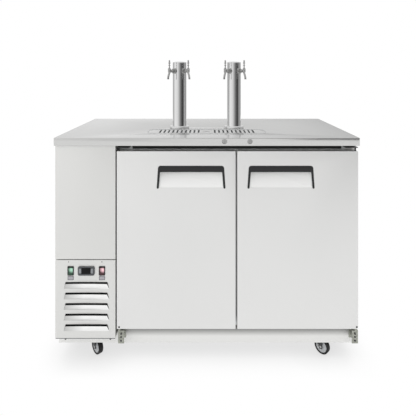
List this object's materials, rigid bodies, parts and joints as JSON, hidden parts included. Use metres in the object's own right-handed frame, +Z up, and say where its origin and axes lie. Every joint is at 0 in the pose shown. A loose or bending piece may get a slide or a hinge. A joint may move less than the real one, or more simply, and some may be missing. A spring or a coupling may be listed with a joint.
{
  "type": "kegerator",
  "caption": "Stainless direct-draw beer cooler with swinging doors, a louvred compressor bay, draft towers with faucets, a drip tray and castors.",
  "frame": {"origin": "on the floor, under the centre of the countertop", "axes": "+X to the right seen from the front, +Y to the back, +Z up"},
  "size_m": [1.468, 0.714, 1.4775],
  "materials": {
    "cabinet_floor": "satin",
    "cabinet_ceiling": "satin",
    "cabinet_left_wall": "satin",
    "cabinet_right_wall": "satin",
    "cabinet_back_wall": "satin",
    "left_side_panel": "satin",
    "base_frame": "satin",
    "kick_plate": "satin",
    "back_grille": "satin",
    "countertop": "gloss",
    "drip_tray_pan": "satin",
    "upper_cover": "satin",
    "louvre_panel": "satin",
    "controller_case": "matte",
    "switch_left_frame": "satin",
    "switch_right_frame": "satin",
    "compressor": "satin",
    "condenser": "satin",
    "evaporator_cover": "satin",
    "left_lower_hinge": "satin",
    "right_lower_hinge": "satin",
    "left_upper_hinge": "satin",
    "right_upper_hinge": "satin",
    "left_tower_column": "polished",
    "right_tower_column": "polished",
    "left_tower_cap": "polished",
    "right_tower_cap": "polished",
    "left_tower_left_faucet": "polished",
    "left_tower_right_faucet": "polished",
    "right_tower_left_faucet": "polished",
    "right_tower_right_faucet": "polished",
    "left_door_skin": "satin",
    "left_door_core": "satin",
    "left_door_gasket": "matte",
    "left_handle_trim": "satin",
    "right_door_skin": "satin",
    "right_door_core": "satin",
    "right_door_gasket": "matte",
    "right_handle_trim": "satin",
    "left_lock": "polished",
    "right_lock": "polished",
    "drip_grille": "gloss",
    "controller_left_key": "matte",
    "controller_right_key": "matte",
    "switch_left_rocker": "satin",
    "switch_right_rocker": "satin",
    "condenser_fan": "satin",
    "evaporator_fan": "satin",
    "left_tower_left_lever": "polished",
    "left_tower_right_lever": "polished",
    "right_tower_left_lever": "polished",
    "right_tower_right_lever": "polished",
    "castor_fork_front_left": "satin",
    "castor_wheel_front_left": "matte",
    "castor_fork_front_right": "satin",
    "castor_wheel_front_right": "matte",
    "castor_fork_back_left": "satin",
    "castor_wheel_back_left": "matte",
    "castor_fork_back_right": "satin",
    "castor_wheel_back_right": "matte"
  },
  "bodies": {
    "cabinet": {"cabinet_floor": "cabinet_floor", "cabinet_ceiling": "cabinet_ceiling", "cabinet_left_wall": "cabinet_left_wall", "cabinet_right_wall": "cabinet_right_wall", "cabinet_back_wall": "cabinet_back_wall", "left_side_panel": "left_side_panel", "base_frame": "base_frame", "kick_plate": "kick_plate", "back_grille": "back_grille", "countertop": "countertop", "drip_tray_pan": "drip_tray_pan", "upper_cover": "upper_cover", "louvre_panel": "louvre_panel", "controller_case": "controller_case", "switch_left_frame": "switch_left_frame", "switch_right_frame": "switch_right_frame", "compressor": "compressor", "condenser": "condenser", "evaporator_cover": "evaporator_cover", "left_lower_hinge": "left_lower_hinge", "right_lower_hinge": "right_lower_hinge", "left_upper_hinge": "left_upper_hinge", "right_upper_hinge": "right_upper_hinge", "left_tower_column": "left_tower_column", "right_tower_column": "right_tower_column", "left_tower_cap": "left_tower_cap", "right_tower_cap": "right_tower_cap", "left_tower_left_faucet": "left_tower_left_faucet", "left_tower_right_faucet": "left_tower_right_faucet", "right_tower_left_faucet": "right_tower_left_faucet", "right_tower_right_faucet": "right_tower_right_faucet"},
    "left_door": {"left_door_skin": "left_door_skin", "left_door_core": "left_door_core", "left_door_gasket": "left_door_gasket", "left_handle_trim": "left_handle_trim"},
    "right_door": {"right_door_skin": "right_door_skin", "right_door_core": "right_door_core", "right_door_gasket": "right_door_gasket", "right_handle_trim": "right_handle_trim"},
    "left_lock": {"left_lock": "left_lock"},
    "right_lock": {"right_lock": "right_lock"},
    "drip_grille": {"drip_grille": "drip_grille"},
    "controller_left_key": {"controller_left_key": "controller_left_key"},
    "controller_right_key": {"controller_right_key": "controller_right_key"},
    "switch_left_rocker": {"switch_left_rocker": "switch_left_rocker"},
    "switch_right_rocker": {"switch_right_rocker": "switch_right_rocker"},
    "condenser_fan": {"condenser_fan": "condenser_fan"},
    "evaporator_fan": {"evaporator_fan": "evaporator_fan"},
    "left_tower_left_lever": {"left_tower_left_lever": "left_tower_left_lever"},
    "left_tower_right_lever": {"left_tower_right_lever": "left_tower_right_lever"},
    "right_tower_left_lever": {"right_tower_left_lever": "right_tower_left_lever"},
    "right_tower_right_lever": {"right_tower_right_lever": "right_tower_right_lever"},
    "castor_fork_front_left": {"castor_fork_front_left": "castor_fork_front_left"},
    "castor_wheel_front_left": {"castor_wheel_front_left": "castor_wheel_front_left"},
    "castor_fork_front_right": {"castor_fork_front_right": "castor_fork_front_right"},
    "castor_wheel_front_right": {"castor_wheel_front_right": "castor_wheel_front_right"},
    "castor_fork_back_left": {"castor_fork_back_left": "castor_fork_back_left"},
    "castor_wheel_back_left": {"castor_wheel_back_left": "castor_wheel_back_left"},
    "castor_fork_back_right": {"castor_fork_back_right": "castor_fork_back_right"},
    "castor_wheel_back_right": {"castor_wheel_back_right": "castor_wheel_back_right"}
  },
  "joints": [
    {"name": "left_door_swing", "type": "hinge", "parent": "cabinet", "child": "left_door", "pos_m": [-0.423, -0.336, 0.6055], "axis": [0, 0, -1], "range_deg": [0, 105]},
    {"name": "right_door_swing", "type": "hinge", "parent": "cabinet", "child": "right_door", "pos_m": [0.719, -0.336, 0.6055], "axis": [0, 0, 1], "range_deg": [0, 105]},
    {"name": "left_lock_turn", "type": "hinge", "parent": "cabinet", "child": "left_lock", "pos_m": [0.085, -0.357, 1.083], "axis": [0, -1, 0], "range_deg": [0, 90]},
    {"name": "right_lock_turn", "type": "hinge", "parent": "cabinet", "child": "right_lock", "pos_m": [0.207, -0.357, 1.083], "axis": [0, -1, 0], "range_deg": [0, 90]},
    {"name": "drip_grille_lift", "type": "slide", "parent": "cabinet", "child": "drip_grille", "axis": [0, 0, 1], "range_m": [0, 0.2]},
    {"name": "left_key_press", "type": "slide", "parent": "cabinet", "child": "controller_left_key", "axis": [0, 1, 0], "range_m": [0, 0.0008], "stiffness_N_per_m": 300},
    {"name": "right_key_press", "type": "slide", "parent": "cabinet", "child": "controller_right_key", "axis": [0, 1, 0], "range_m": [0, 0.0008], "stiffness_N_per_m": 300},
    {"name": "left_switch_rock", "type": "hinge", "parent": "cabinet", "child": "switch_left_rocker", "pos_m": [-0.6555, -0.341, 0.4585], "axis": [1, 0, 0], "range_deg": [-9, 0]},
    {"name": "right_switch_rock", "type": "hinge", "parent": "cabinet", "child": "switch_right_rocker", "pos_m": [-0.5045, -0.341, 0.4585], "axis": [1, 0, 0], "range_deg": [-9, 0]},
    {"name": "condenser_fan_spin", "type": "hinge", "parent": "cabinet", "child": "condenser_fan", "pos_m": [-0.5835, -0.177, 0.2313], "axis": [0, -1, 0], "continuous": true},
    {"name": "evaporator_fan_spin", "type": "hinge", "parent": "cabinet", "child": "evaporator_fan", "pos_m": [-0.3195, 0.06, 0.8827], "axis": [1, 0, 0], "continuous": true},
    {"name": "left_tower_left_lever_pull", "type": "hinge", "parent": "cabinet", "child": "left_tower_left_lever", "pos_m": [-0.20382, -0.09028, 1.4325], "axis": [0.766, -0.6428, 0], "range_deg": [0, 40]},
    {"name": "left_tower_right_lever_pull", "type": "hinge", "parent": "cabinet", "child": "left_tower_right_lever", "pos_m": [-0.10098, -0.09028, 1.4325], "axis": [0.766, 0.6428, 0], "range_deg": [0, 40]},
    {"name": "right_tower_left_lever_pull", "type": "hinge", "parent": "cabinet", "child": "right_tower_left_lever", "pos_m": [0.10098, -0.09028, 1.4325], "axis": [0.766, -0.6428, 0], "range_deg": [0, 40]},
    {"name": "right_tower_right_lever_pull", "type": "hinge", "parent": "cabinet", "child": "right_tower_right_lever", "pos_m": [0.20382, -0.09028, 1.4325], "axis": [0.766, 0.6428, 0], "range_deg": [0, 40]},
    {"name": "front_left_swivel", "type": "hinge", "parent": "cabinet", "child": "castor_fork_front_left", "pos_m": [-0.566, -0.2415, 0.095], "axis": [0, 0, 1], "continuous": true},
    {"name": "front_left_roll", "type": "hinge", "parent": "castor_fork_front_left", "child": "castor_wheel_front_left", "pos_m": [-0.55044, -0.25706, 0.0375], "axis": [0.7071, 0.7071, 0], "continuous": true},
    {"name": "front_right_swivel", "type": "hinge", "parent": "cabinet", "child": "castor_fork_front_right", "pos_m": [0.566, -0.2415, 0.095], "axis": [0, 0, 1], "continuous": true},
    {"name": "front_right_roll", "type": "hinge", "parent": "castor_fork_front_right", "child": "castor_wheel_front_right", "pos_m": [0.58156, -0.25706, 0.0375], "axis": [0.7071, 0.7071, 0], "continuous": true},
    {"name": "back_left_swivel", "type": "hinge", "parent": "cabinet", "child": "castor_fork_back_left", "pos_m": [-0.566, 0.237, 0.095], "axis": [0, 0, 1], "continuous": true},
    {"name": "back_left_roll", "type": "hinge", "parent": "castor_fork_back_left", "child": "castor_wheel_back_left", "pos_m": [-0.55044, 0.22144, 0.0375], "axis": [0.7071, 0.7071, 0], "continuous": true},
    {"name": "back_right_swivel", "type": "hinge", "parent": "cabinet", "child": "castor_fork_back_right", "pos_m": [0.566, 0.237, 0.095], "axis": [0, 0, 1], "continuous": true},
    {"name": "back_right_roll", "type": "hinge", "parent": "castor_fork_back_right", "child": "castor_wheel_back_right", "pos_m": [0.58156, 0.22144, 0.0375], "axis": [0.7071, 0.7071, 0], "continuous": true}
  ]
}
